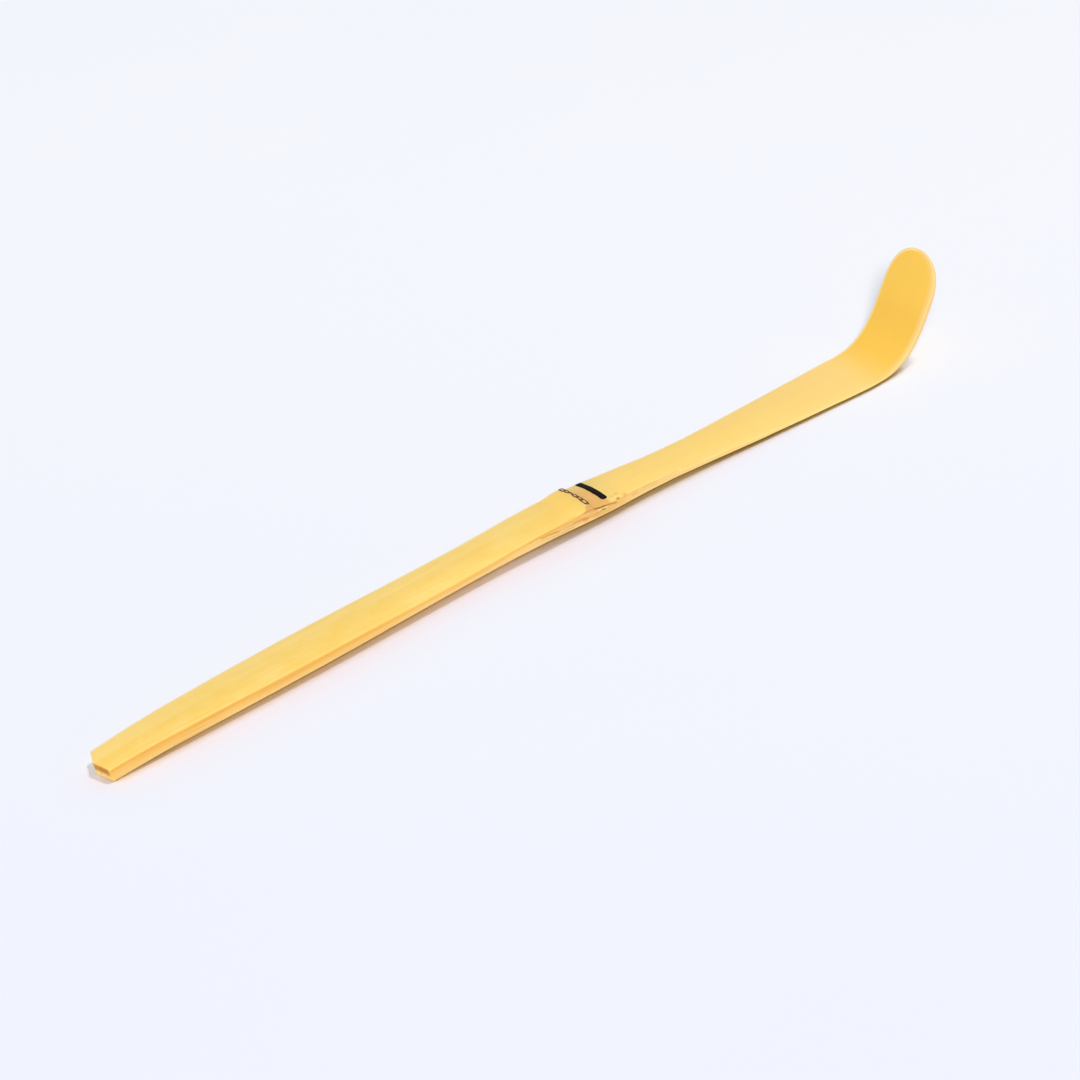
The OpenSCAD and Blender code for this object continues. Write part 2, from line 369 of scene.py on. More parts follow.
def cut_normal(sweep):
    """Normal of a knife cut that is swept round the vertical and leans by the undercut."""
    return np.array([np.cos(undercut) * np.cos(sweep), np.cos(undercut) * np.sin(sweep), np.sin(undercut)])


def cut_station(y, h):
    """Station where the fibre at y and h meets the cuts. For each plane it is the distance left to the plane
    over the pace at which the fibre nears it, and the farther plane counts. A few passes settle it."""
    along = np.array([np.cos(pitch(0.0)), 0, np.sin(pitch(0.0))])
    cuts = [cut_normal(near_sweep), cut_normal(-far_sweep)]
    s = np.zeros_like(y)
    for _ in range(settling_passes):
        s = s + np.maximum(*[((ridge_top - place(s, y, h)) @ n) / (along @ n) for n in cuts])
    return s


def section_point(s, i):
    """y, h, depth below the skin and inset of the points of the rings i, at stations s. Near the cut end the
    points gather on the ridge between the knife cuts."""
    cap, drawn_in = ring_cap[i, None], ring_drawn_in[i, None]
    half, thick = half_width(s) * cap, edge(s)
    rounding, bevel = np.minimum(upper_round, thick / 3), np.minimum(bevel_size(s), thick / 3)
    inset = in_round * rounding + in_bevel * bevel
    inner = np.maximum(half + inset * inward_y[i, None], 0)
    y = across * inner + ridge_off * (1 - across**2) * ease(1 - s / cut_fade)
    level = np.clip(y / np.maximum(half, 1e-9), -1, 1)
    top = thick + crown(s) * (1 - level**2) - near_planed(s, level)
    h = share * top + up_round * rounding + up_bevel * bevel
    below = top - h
    h = h + hollow(s) * (1 - share)
    y = y - near_flare * hollow(s) * np.clip(-y / np.maximum(half, 1e-9), 0, 1)
    return y - out_y * drawn_in, h - out_h * drawn_in, below, inset


everywhere = np.arange(len(ring_s))
first_y, first_h, _, _ = section_point(np.zeros((1, len(ring))), np.array([0]))
starts = cut_station(first_y[0], first_h[0])
s = ring_s[:, None] + starts * np.clip(1 - ring_s[:, None] / cut_fade, 0, 1)
y, h, depth, inset = section_point(s, everywhere)
print(f"the knife cuts reach back {starts.max() / MM:.2f} mm")

# %% [markdown]
# Real bamboo is never quite smooth. Its skin has faint lengthwise ripples, and on the cut faces the hard
# fibres stand a little proud of the soft ground. The relief is noise stretched far along the fibres, and it
# dies out at the thin tip. At the node, a low ridge leads up to the scar and the skin steps down past it.

# %% Relief of skin and fibres
# height, length and width of each kind of relief
ripple_h, ripple_l, ripple_w = 0.012 * MM, 22 * MM, 0.9 * MM
fibre_h, fibre_l, fibre_w = 0.016 * MM, 9 * MM, 0.26 * MM
uneven_h, uneven_l, uneven_w = 0.020 * MM, 3.5 * MM, 2.4 * MM
fibre_slant, hidden_by_skin = 1.7, 0.7
relief_from, relief_over = 0.05 * MM, 1 * MM
step_least, step_more_far = 0.10 * MM, 0.26 * MM
step_over, step_back_over = 0.5 * MM, 9 * MM
line_share, line_from, line_over = 0.6, 1.6 * MM, 1.4 * MM
ridge_h, ridge_before, ridge_over, ridge_end = 0.13 * MM, 2.6 * MM, 2 * MM, 0.4 * MM


def relief(s, y, depth):
    """Height above the plain section: ripples and uneven patches on the skin and finer fibres at the cut
    faces, each a noise drawn out along the strip."""
    ripple = ripple_h * value_noise(s / ripple_l, y / ripple_w, 3)
    fibres = fibre_h * value_noise(s / fibre_l, (y + fibre_slant * depth) / fibre_w, 5)
    uneven = uneven_h * value_noise(s / uneven_l, y / uneven_w, 8)
    return ripple + uneven + fibres * (1 - hidden_by_skin * skin_mask)


def node_step(s, y):
    """The skin steps down just past the sheath scar, deepest at the far edge, where a low ridge leads up to
    it. Most of the step is made good by the black line, and the rest over the next few millimetres."""
    far_side = np.clip(y / half_width(s), 0, 1)
    deep = step_least + step_more_far * far_side
    made_good = 1 - line_share * ease((s - scar_at - line_from) / line_over)
    back = ease((line_at + step_back_over - s) / step_back_over)
    rising = ease((s - scar_at + ridge_before) / ridge_over)
    ridge = ridge_h * far_side * rising * ease((scar_at + ridge_end - s) / ridge_end)
    return ridge - deep * ease((s - scar_at) / step_over) * made_good * back


rough = relief(s, y, depth) * ring_cap[:, None] * ease((s - relief_from) / relief_over)
lift = rough + node_step(s, y) * skin_mask
y_out = y + out_y * lift
h_out = h + out_h * lift
points = place(s + inset * inward_s[:, None], y_out, h_out)
print(f"relief from {lift.min() / MM:.3f} to {lift.max() / MM:.3f} mm")

# %% [markdown]
# The cut end is closed by shrinking its ring towards the ridge in steps, each point pushed back to the knife
# cuts. The mesh also says how far along the strip, across it and below the skin each point lies. The bamboo's
# material reads this, so a fibre seen as a dot on the cut end runs on as a line down the side.

# %% The strip's mesh
cap_n = 14
merge_within = 1e-8
sharp_over = np.radians(40)


def end_face(y, h):
    """Points of the cut end: its first ring drawn towards the middle of the ridge by equal shares, with that
    middle itself last."""
    left = np.linspace(1, 0, cap_n + 1)[1:-1, None]
    middle_h = edge(0.0) / 2
    inner_y = ridge_off + (y - ridge_off) * left
    inner_h = middle_h + (h - middle_h) * left
    return np.append(inner_y, ridge_off), np.append(inner_h, middle_h)


def tube_faces(rows, columns):
    """Four-cornered faces between neighbouring rows of points, where each row closes into a ring."""
    corner = np.arange(rows - 1)[:, None] * columns
    here = np.arange(columns)
    ahead = (here + 1) % columns
    sides = [corner + here, corner + ahead, corner + columns + ahead, corner + columns + here]
    return np.stack(sides, -1).reshape(-1, 4)


def fan_faces(rim, middle):
    """Triangles from each side of a closed rim to its middle."""
    return np.stack([rim, np.roll(rim, -1), np.full(len(rim), middle)], -1)


def closed_tube(rows, columns):
    """The faces of such a tube, with fans that close its last and its first row to one more point each."""
    n = rows * columns
    first_row, last_row = np.arange(columns)[::-1], np.arange(n - columns, n)
    return [tube_faces(rows, columns), fan_faces(last_row, n), fan_faces(first_row, n + 1)]


def new_object(name, data):
    """An object at the origin, in the scene."""
    made = bpy.data.objects.new(name, data)
    bpy.context.scene.collection.objects.link(made)
    return made


def mesh_object(name, points, face_groups, fields=()):
    """An object with this mesh. Doubled points are merged, faces turned outwards and shading is smooth but
    for edges sharper than an angle. Fields are named values or vectors that materials read."""
    mesh = bpy.data.meshes.new(name)
    mesh.from_pydata(points.tolist(), [], [face for faces in face_groups for face in faces.tolist()])
    for field, values in dict(fields).items():
        kind, slot = ("FLOAT_VECTOR", "vector") if values.ndim == 2 else ("FLOAT", "value")
        mesh.attributes.new(field, kind, "POINT").data.foreach_set(slot, values.astype(np.float32).ravel())
    solid = bmesh.new()
    solid.from_mesh(mesh)
    bmesh.ops.remove_doubles(solid, verts=solid.verts, dist=merge_within)
    if solid.calc_volume(signed=True) < 0:
        bmesh.ops.reverse_faces(solid, faces=solid.faces)
    open_edges = sum(not e.is_manifold for e in solid.edges)
    volume = solid.calc_volume() / MM**3
    print(f"{name}: {len(solid.faces)} faces, {volume:.1f} cubic mm, {open_edges} open edges")
    solid.to_mesh(mesh)
    solid.free()
    mesh.shade_smooth()
    mesh.set_sharp_from_angle(angle=sharp_over)
    return new_object(name, mesh)


end_y, end_h = end_face(y_out[0], h_out[0])
end_s = cut_station(end_y, end_h)
end_depth = edge(end_s) + crown(end_s) * (1 - (end_y / half_width(end_s)) ** 2) - end_h
body_n, ring_n = points.shape[0] * points.shape[1], points.shape[1]
cap_rings = np.append(np.arange(ring_n), body_n + np.arange((cap_n - 1) * ring_n)).reshape(cap_n, ring_n)
inner, outer = cap_rings[1:], cap_rings[:-1]
cap_faces = np.stack([inner, np.roll(inner, -1, 1), np.roll(outer, -1, 1), outer], -1).reshape(-1, 4)

all_s, all_y, all_depth = np.append(s, end_s), np.append(y, end_y), np.append(depth, end_depth)
from_rim = all_depth - np.append(half_width(s) * ring_cap[:, None], half_width(end_s))
on_skin = np.append(np.broadcast_to(skin_mask, s.shape), 0 * end_s)
on_end = np.append(0 * s, 1 + 0 * end_s)
on_end[:ring_n] = 1
strip = mesh_object(
    "scoop_strip",
    np.concatenate([points.reshape(-1, 3), place(end_s, end_y, end_h)]),
    [tube_faces(*s.shape), cap_faces, fan_faces(cap_rings[-1], body_n + len(end_y) - 1)],
    {
        "grain": np.stack([all_s, all_y, all_depth], -1) / MM,
        "skin": on_skin,
        "cut_end": on_end,
        "from_near": (from_rim - all_y) / MM,
        "from_far": (from_rim + all_y) / MM,
    },
)

# %% [markdown]
# The sheath that wrapped the young culm left a ragged scar, which the maker keeps. Close up it is a chain of
# dry blisters: brown rims, most with a paler core. Each is a disc of rings on the skin, with its own length,
# width and squareness. They are one piece, as on the real strip.

# %% Sheath scar
over_skin = 0.02 * MM
rim_height = 0.10 * MM
root_depth = 0.10 * MM
rim_middle, rim_reach = 0.74, 0.34
core_top, core_inside, core_edge, core_fade = 0.25, 0.7, 0.48, 0.16
outline_rough, height_rough = 0.10, 0.35
far_edge_gap = 0.04 * MM
plug_depth = 0.5 * MM
blisters = [
    # middle from the far edge, half length, half width, shift towards the tip (all in mm), squareness and
    # paleness of the core
    (0.68, 0.70, 0.52, -0.30, 2.4, 0.75),
    (1.56, 0.62, 0.44, -0.20, 2.4, 0.55),
    (2.36, 0.48, 0.15, -0.06, 2.0, 0.0),
    (3.34, 0.84, 0.40, -0.12, 1.8, 0.5),
    (4.22, 0.80, 0.37, 0.00, 1.9, 0.5),
    (5.38, 0.82, 0.46, -0.08, 4.2, 1.0),
]
blister_rings, blister_points = 12, 56


def skin_height(s, y):
    """Height of the skin above the underside, with its rounded edges and the step at the node."""
    half = half_width(s)
    top = edge(s) + crown(s) * (1 - np.clip(y / half, -1, 1) ** 2)
    over = np.clip(abs(y) - half + upper_round, 0, upper_round)
    return top - upper_round + np.sqrt(upper_round**2 - over**2) + node_step(s, y)


def blister(sizes, squareness, core, seed):
    """Points, faces and paleness of one blister. In polar steps, the outline is a superellipse with a ragged
    radius; the height is a hump over the rim at three quarters of the radius, above a sunken core."""
    middle, half_length, half_wide, shift = np.array(sizes) * MM
    angle = np.linspace(0, 2 * np.pi, blister_points, endpoint=False)
    radius = np.linspace(1, 0, blister_rings, endpoint=False)[:, None]
    reach = (abs(np.cos(angle)) ** squareness + abs(np.sin(angle)) ** squareness) ** (-1 / squareness)
    ragged = 1 + outline_rough * value_noise(angle / (2 * np.pi) * 16, np.full_like(angle, seed), 12)
    far_y = half_width(scar_at)
    out = reach * ragged * radius
    y = np.minimum(far_y - middle - half_length * out * np.cos(angle), far_y - far_edge_gap)
    s = scar_at + shift + half_wide * out * np.sin(angle)
    rim = hump((radius - rim_middle) / rim_reach)
    torn = 1 + height_rough * value_noise(angle * 3, radius * 4 + seed, 13)
    rise = rim_height * (rim * torn + core_top * (radius < core_inside)) + over_skin
    pale = core * ease((core_edge - radius) / core_fade) * np.ones_like(angle)
    h = skin_height(np.minimum(s, scar_at), y) + rise
    root = skin_height(scar_at + 1 * MM, y[:1]) - root_depth
    rows = np.concatenate([place(s[:1], y[:1], root), place(s, y, h)])
    middle_y = np.array([far_y - middle])
    top_middle = place(np.array([scar_at + shift]), middle_y, skin_height(scar_at, middle_y) + rise[-1, :1])
    flat = np.concatenate([rows.reshape(-1, 3), top_middle, top_middle - [0, 0, plug_depth]])
    pale = np.concatenate([np.zeros(blister_points), pale.ravel(), [core, 0]])
    return flat, closed_tube(*rows.shape[:2]), pale


scar_points, scar_faces, scar_pale, count = [], [], [], 0
for seed, (*sizes, squareness, core) in enumerate(blisters):
    flat, faces, pale = blister(sizes, squareness, core, seed)
    scar_points.append(flat)
    scar_faces += [part + count for part in faces]
    scar_pale.append(pale)
    count += len(flat)
paleness = {"pale": np.concatenate(scar_pale)}
scar = mesh_object("scar_rim", np.concatenate(scar_points), scar_faces, paleness)

# %% [markdown]
# The black line is lacquer laid across the node: a low bead with rounded corners and a wavering edge. It is a
# domed section carried across the strip, down over the rounded far edge.

# %% Black line
line_w = 1.28 * MM
line_corner = 0.42 * MM
line_shift = 0.25 * MM
line_near_gap, line_far_gap = 1.0 * MM, 0.06 * MM
bead_height = 0.10 * MM
dome_power, dome_root = 4, 0.6
waver_out, waver_l, waver_w = 0.035 * MM, 0.55 * MM, 1.2
lump_share, lump_l = 0.18, 0.9 * MM
bead_rows, bead_top, bead_low = 120, 18, 6


def bead():
    """Rows of points across the strip. The half width draws in at both ends along a quarter circle, and the
    section is a dome: height times (1 - b to the 4th) to the 0.6th, closed by a flat floor in the skin."""
    near_y, far_y = line_near_gap - half_width(line_at), half_width(line_at) - line_far_gap
    length = far_y - near_y
    from_near = length * (0.5 - 0.5 * np.cos(np.pi * np.linspace(0, 1, bead_rows)))[:, None]
    from_end = np.minimum(from_near, length - from_near)
    drawn_in = np.sqrt(1 - np.clip(1 - from_end / line_corner, 0, 1) ** 2)
    reach = line_w / 2 - line_corner * (1 - drawn_in)
    top_b = np.linspace(-1, 1, bead_top)
    b = np.append(top_b, np.linspace(1, -1, bead_low + 2)[1:-1])
    waver = waver_out * value_noise(from_near / waver_l, b * waver_w + 9, 21)
    s = line_at + line_shift + reach * b + waver * abs(b)
    dome = np.append(np.maximum(1 - top_b**dome_power, 0) ** dome_root, np.full(bead_low, -1.0))
    lumps = 1 + lump_share * value_noise(from_near / lump_l, b + 5, 22)
    rise = np.where(dome < 0, -root_depth, over_skin + bead_height * dome * lumps * drawn_in)
    y = near_y + from_near + 0 * s
    return place(s, y, skin_height(s, y) + rise)


rows = bead()
bead_points = np.concatenate([rows.reshape(-1, 3), [rows[-1].mean(0), rows[0].mean(0)]])
line = mesh_object("lacquer_line", bead_points, closed_tube(*rows.shape[:2]))

# %% [markdown]
# All finishes are node graphs, and these short helpers keep them readable. Colours are written as a paint
# chart gives them, 0 to 255, and turned into the linear values that shaders use.

# %% Helpers for shader nodes
def colour(red, green, blue):
    """Linear colour of a paint-chart colour: each part over 255, through the standard screen curve."""
    part = np.array([red, green, blue]) / 255
    linear = np.where(part <= 0.04045, part / 12.92, ((part + 0.055) / 1.055) ** 2.4)
    return (*linear, 1)


def fill(tree, node, inputs):
    """Links a socket to each named input, or sets a plain value."""
    for name, value in dict(inputs).items():
        if isinstance(value, bpy.types.NodeSocket):
            tree.links.new(value, node.inputs[name])
        else:
            node.inputs[name].default_value = value


def add(tree, kind, inputs=(), **settings):
    """Adds a node with these settings and fills its inputs."""
    made = tree.nodes.new(kind)
    for name, value in settings.items():
        setattr(made, name, value)
    fill(tree, made, inputs)
    return made


def calc(tree, operation, a, b=0.0):
    """One step of arithmetic on two values."""
    return add(tree, "ShaderNodeMath", {0: a, 1: b}, operation=operation).outputs[0]


def product(tree, *factors):
    """Product of values and masks, where (value, low, high) stands for that soft mask."""
    first, *others = (soft_mask(tree, *f) if isinstance(f, tuple) else f for f in factors)
    for other in others:
        first = calc(tree, "MULTIPLY", first, other)
    return first


def total(tree, first, *others):
    """Sum of values."""
    for other in others:
        first = calc(tree, "ADD", first, other)
    return first


def soft_mask(tree, value, low, high):
    """0 below low, 1 above high, and a smooth step between. With high below low it falls instead."""
    made = add(tree, "ShaderNodeMapRange", {"Value": value}, interpolation_type="SMOOTHSTEP")
    from_low, from_high, to_low, to_high = (low, high, 0, 1) if low < high else (high, low, 1, 0)
    fill(tree, made, {"From Min": from_low, "From Max": from_high, "To Min": to_low, "To Max": to_high})
    return made.outputs["Result"]


def mix(tree, share, a, b):
    """Colour a turned towards colour b by the share."""
    return add(tree, "ShaderNodeMix", {0: share, 6: a, 7: b}, data_type="RGBA").outputs[2]


def layered(tree, base, tints):
    """A colour with tints laid over it, one after another. Each tint is a paint-chart colour, its share at
    most, and the masks that hold it in, as product takes them."""
    for paint, most, *masks in tints:
        base = mix(tree, product(tree, *masks, most), base, colour(*paint))
    return base


def ramp(tree, value, stops):
    """A colour ramp through stops of a position from 0 to 1 and a paint-chart colour."""
    made = add(tree, "ShaderNodeValToRGB", {"Fac": value})
    elements = made.color_ramp.elements
    elements[0].color, elements[1].color = colour(*stops[0][1]), colour(*stops[-1][1])
    for position, paint in stops[1:-1]:
        elements.new(position).color = colour(*paint)
    return made.outputs[0]


def attribute(tree, name, output="Fac"):
    """A field that the mesh carries."""
    return add(tree, "ShaderNodeAttribute", attribute_name=name).outputs[output]


def group(name, inputs, output, build):
    """A node group with named inputs and one output; build adds its nodes and returns the output's value."""
    tree = bpy.data.node_groups.new(name, "ShaderNodeTree")
    for socket, kind in inputs.items():
        tree.interface.new_socket(socket, in_out="INPUT", socket_type=kind)
    tree.interface.new_socket(output, in_out="OUTPUT", socket_type=float_in)
    given = tree.nodes.new("NodeGroupInput").outputs
    result = tree.nodes.new("NodeGroupOutput")
    tree.links.new(build(tree, given), result.inputs[0])
    return tree


def use(tree, made, **inputs):
    """Places a node group and returns its output. An underscore in an input's name stands for a space."""
    placed = add(tree, "ShaderNodeGroup", node_tree=made)
    fill(tree, placed, {name.replace("_", " "): value for name, value in inputs.items()})
    return placed.outputs[0]


def bump(tree, shader, height, strength, distance):
    """Small relief that only the light sees."""
    made = add(tree, "ShaderNodeBump", {"Height": height, "Strength": strength, "Distance": distance})
    tree.links.new(made.outputs[0], shader.inputs["Normal"])


def finish_material(name, build):
    """A material whose build function fills the Principled shader that it starts with."""
    made = bpy.data.materials.new(name)
    made.use_nodes = True
    build(made.node_tree, made.node_tree.nodes["Principled BSDF"])
    return made


vector_in, float_in = "NodeSocketVector", "NodeSocketFloat"
print("colour check:", [round(float(c), 3) for c in colour(253, 216, 120)])

# %% [markdown]
# Two effects belong to more than one finish, so they are node groups. Long streaks are noise drawn out along
# the fibres, and mottling is a soft cloudy change, as of hands and age. Both read millimetres.

# %% Shared effects
noise_low, noise_high = 0.3, 0.7
cloud_longer = 1.8


def drawn_noise(tree, place, length, width, detail, roughness):
    """Noise whose coordinates are divided by a length along the fibres and a width across them."""
    size = add(tree, "ShaderNodeCombineXYZ", {0: length, 1: width, 2: width}).outputs[0]
    drawn = add(tree, "ShaderNodeVectorMath", {0: place, 1: size}, operation="DIVIDE").outputs[0]
    settings = {"Vector": drawn, "Scale": 1.0, "Detail": detail, "Roughness": roughness}
    return soft_mask(tree, add(tree, "ShaderNodeTexNoise", settings).outputs[0], noise_low, noise_high)


def streak_nodes(tree, given):
    return drawn_noise(tree, given["Place"], given["Length"], given["Width"], 3.0, 0.55)


def mottle_nodes(tree, given):
    """Cloudy noise at a given size, a little longer than it is wide."""
    longer = product(tree, given["Size"], cloud_longer)
    return drawn_noise(tree, given["Place"], longer, given["Size"], 4.0, 0.6)


streak_inputs = {"Place": vector_in, "Length": float_in, "Width": float_in}
streaks = group("long_streaks", streak_inputs, "Streaks", streak_nodes)
mottle = group("mottling", {"Place": vector_in, "Size": float_in}, "Mottle", mottle_nodes)
print("groups:", [g.name for g in bpy.data.node_groups])

# %% [markdown]
# Every colour of the bamboo depends on the place in the wood: how far along the strip, how deep below the
# skin and how far from its edges. The mesh carries all of these.

# %% Places in the wood
bundle_size = (60, 0.40, 0.34)


class Wood:
    """What the mesh and the shared effects say about a point of the bamboo, all lengths in millimetres."""

    def __init__(self, tree):
        self.place = attribute(tree, "grain", "Vector")
        self.along, self.across, self.depth = add(tree, "ShaderNodeSeparateXYZ", {0: self.place}).outputs
        self.skin, self.cut_end = attribute(tree, "skin"), attribute(tree, "cut_end")
        self.near, self.far = attribute(tree, "from_near"), attribute(tree, "from_far")
        self.past_scar = calc(tree, "SUBTRACT", self.along, scar_at / MM)
        self.fine = use(tree, streaks, Place=self.place, Length=26.0, Width=0.32)
        self.cloud = use(tree, mottle, Place=self.place, Size=2.2)
        squeezed = add(tree, "ShaderNodeVectorMath", {0: self.place, 1: bundle_size}, operation="DIVIDE")
        settings = {"Vector": squeezed.outputs[0], "Scale": 1.0, "Randomness": 0.9}
        cells = add(tree, "ShaderNodeTexVoronoi", settings)
        self.bundle = soft_mask(tree, cells.outputs["Distance"], 0.42, 0.12)


print("fibre bundles are", bundle_size, "mm apart")

# %% [markdown]
# The skin is smooth, pale yellow and satin, with soft clouds of age. It is tinted in zones: riper before the
# node, deeper orange on the blade, and brighter on the neck and shoulder, where the brightness is painted
# light.

# %% Colours of the skin
# stations in mm over which a zone fades in, or out where the second is the smaller
ripe_in, neck_in, shoulder_in, shoulder_out = (78, 90), (92, 104), (120, 150), (162, 154)
blade_deeper_in, tip_in = (153, 163), (166, 180)


def skin_colour(tree, wood):
    """Pale skin turned to aged skin by clouds and streaks, with the zones laid over it."""
    broad = use(tree, streaks, Place=wood.place, Length=40.0, Width=1.3)
    patch = use(tree, mottle, Place=wood.place, Size=7.0)
    parts = ((wood.cloud, 0.40), (broad, 0.25), (patch, 0.35))
    aged = total(tree, *(product(tree, value, part) for value, part in parts))
    before_bend = (wood.along, *shoulder_out)
    return layered(tree, mix(tree, aged, colour(249, 217, 130), colour(246, 205, 94)), (
        ((243, 192, 78), 0.22, wood.fine),
        ((255, 226, 142), 0.35, (wood.far, -4.5, -0.5)),
        ((248, 200, 84), 0.35, (wood.along, *ripe_in), (wood.near, -0.6, -3.0)),
        # painted light: the neck and shoulder are painted brighter for the way light falls on them
        ((255, 218, 123), 0.6, (wood.along, *neck_in)),
        ((252, 213, 128), 0.6, (wood.along, *shoulder_in), before_bend),
        # deeper orange from the bend on, and again towards the tip
        ((239, 187, 62), 0.8, (wood.along, *blade_deeper_in)),
        ((251, 204, 84), 0.8, (wood.along, *tip_in)),
        # painted highlight along the rounded near edge of the skin
        ((254, 222, 146), 0.22, (wood.near, -0.5, -0.25), before_bend),
    ))


print("steam has browned the blade from", blade_deeper_in[0], "mm on")

# %% [markdown]
# The cut faces go from dense orange fibres under the skin to pale soft ground at the underside, with thin
# dark bundles. The cut end shows the same bundles as dots, a darker band and one small knot.

# %% Colours of the cut faces
wall_mm = 2.4
end_half = half_width(0.0) / MM
knot_in, knot_depth, knot_l, knot_h = 1.35, 0.85, 1.3, 0.55


def side_colour(tree, wood):
    """Colour by depth, paler where the knife has shaved the handle, and painted paler along the neck as
    painted light.
    """
    by_depth = ramp(tree, calc(tree, "DIVIDE", wood.depth, wall_mm), (
        (0, (238, 174, 66)), (0.12, (242, 180, 76)), (0.32, (251, 196, 98)), (0.60, (250, 208, 121)),
        (1, (255, 220, 142)),
    ))
    return layered(tree, by_depth, (
        ((236, 172, 74), 0.3, wood.fine),
        # painted light: the side is painted as pale as the skin along the neck, where it looks as bright as
        # the top
        ((252, 218, 140), 0.8, (wood.along, 88, 108)),
        ((254, 216, 138), 0.65, (wood.along, 44, 62), (wood.along, 96, 90), (wood.depth, 0.15, 0.55)),
        ((214, 150, 66), 0.35, wood.bundle),
    ))


def end_colour(tree, wood):
    """Colour by depth at the cut end, with its bundles, knot and two lighter corners."""
    from_knot = add(tree, "ShaderNodeCombineXYZ", {
        0: calc(tree, "DIVIDE", total(tree, wood.across, end_half - knot_in), knot_l),
        1: calc(tree, "DIVIDE", calc(tree, "SUBTRACT", wood.depth, knot_depth), knot_h),
    }).outputs[0]
    knot = add(tree, "ShaderNodeVectorMath", {0: from_knot}, operation="LENGTH").outputs["Value"]
    by_depth = ramp(tree, calc(tree, "DIVIDE", wood.depth, wall_mm), (
        (0, (240, 184, 84)), (0.14, (214, 156, 68)), (0.30, (200, 140, 56)), (0.50, (208, 150, 66)),
        (0.68, (252, 216, 136)), (1, (255, 224, 146)),
    ))
    return layered(tree, by_depth, (
        ((168, 112, 40), 0.5, wood.bundle),
        ((178, 116, 34), 0.55, (knot, 1.1, 0.3)),
        ((254, 208, 112), 0.85, (wood.across, 0.50 - end_half, 0.20 - end_half)),
        ((226, 186, 100), 0.55, (wood.across, end_half - 1.6, end_half - 0.5)),
    ))


print(f"the knot is {knot_in} mm from the near corner of the cut end")

# %% [markdown]
# At the node the skin between the scar and the line is tan and thready, and just past the line it is a
# little green. The knife ran across the fibres here and split some, so a node group draws each of them.

# %% Colours at the node
line_mm = line_at / MM
near_marks = [
    # station past the scar and distance below the near edge of the skin, in mm, at both ends; width, colour
    # and share
    (-13.5, 0.20, -7.7, 0.12, 0.25, (232, 166, 58), 0.62),
    (-7.7, 0.12, -3.4, -0.22, 0.25, (234, 170, 76), 0.50),
    (-11, 0.50, -7, 0.90, 0.12, (190, 128, 54), 0.78),
    (-4.4, 0.80, -1.3, 1.35, 0.19, (222, 150, 72), 0.73),
    (-1.3, 1.35, 1.2, 1.10, 0.15, (230, 165, 84), 0.67),
    (-2.3, 1.32, -0.8, 1.45, 0.25, (234, 136, 46), 0.90),
    (-2.2, 1.75, -1, 1.85, 0.18, (240, 150, 60), 0.67),
    (0.3, 1.00, 2.4, 1.05, 0.12, (214, 160, 80), 0.67),
    # painted highlight: a pale line where light catches a raised fibre
    (0.9, 0.52, 3.2, 0.66, 0.20, (252, 230, 156), 0.75),
    (-2.1, 0.28, 0.2, 0.02, 0.20, (206, 136, 64), 0.67),
    (0, 0.02, 2.8, 0.24, 0.19, (142, 88, 30), 0.95),
    (2.6, 0.22, 5.2, 0.70, 0.19, (186, 124, 50), 0.84),
    (1.7, 0.68, 2.8, 1.00, 0.16, (158, 112, 52), 0.90),
    (5, -0.06, 5.8, 0.10, 0.22, (158, 98, 30), 0.95),
    (5.3, -1.00, 6.3, -0.90, 0.43, (238, 182, 90), 0.56),
    (4.2, -1.05, 5.0, -0.92, 0.36, (206, 176, 96), 0.38),
    (6.5, -0.10, 7.5, 0.08, 0.56, (234, 168, 78), 0.67),
    (8.4, 0.46, 9.9, 0.70, 0.56, (248, 184, 112), 0.62),
    (10.6, 0.34, 14.4, 0.44, 0.35, (236, 180, 98), 0.55),
    (14.8, 0.26, 19.0, 0.32, 0.30, (247, 192, 114), 0.55),
    (19.4, 0.12, 24.0, 0.18, 0.26, (248, 198, 112), 0.50),
]
waver_size, waver_mm = 0.8, 0.12


def fibre_nodes(tree, given):
    """A fibre from start to end: 1 on its wavering line and 0 past its width, with soft ends."""
    length = calc(tree, "SUBTRACT", given["End"], given["Start"])
    done = calc(tree, "DIVIDE", calc(tree, "SUBTRACT", given["Along"], given["Start"]), length)
    drop = product(tree, calc(tree, "SUBTRACT", given["Down at end"], given["Down at start"]), done)
    middle = total(tree, given["Down at start"], drop, given["Waver"])
    off = calc(tree, "ABSOLUTE", calc(tree, "SUBTRACT", given["Down"], middle))
    inside = calc(tree, "MINIMUM", done, calc(tree, "SUBTRACT", 1.0, done))
    ends = (product(tree, inside, length), -0.15, 0.35)
    return product(tree, (calc(tree, "DIVIDE", off, given["Width"]), 1.15, 0.35), ends)


fibre_inputs = ("Along", "Down", "Start", "Down at start", "End", "Down at end", "Width", "Waver")
fibre = group("single_fibre", dict.fromkeys(fibre_inputs, float_in), "Fibre", fibre_nodes)


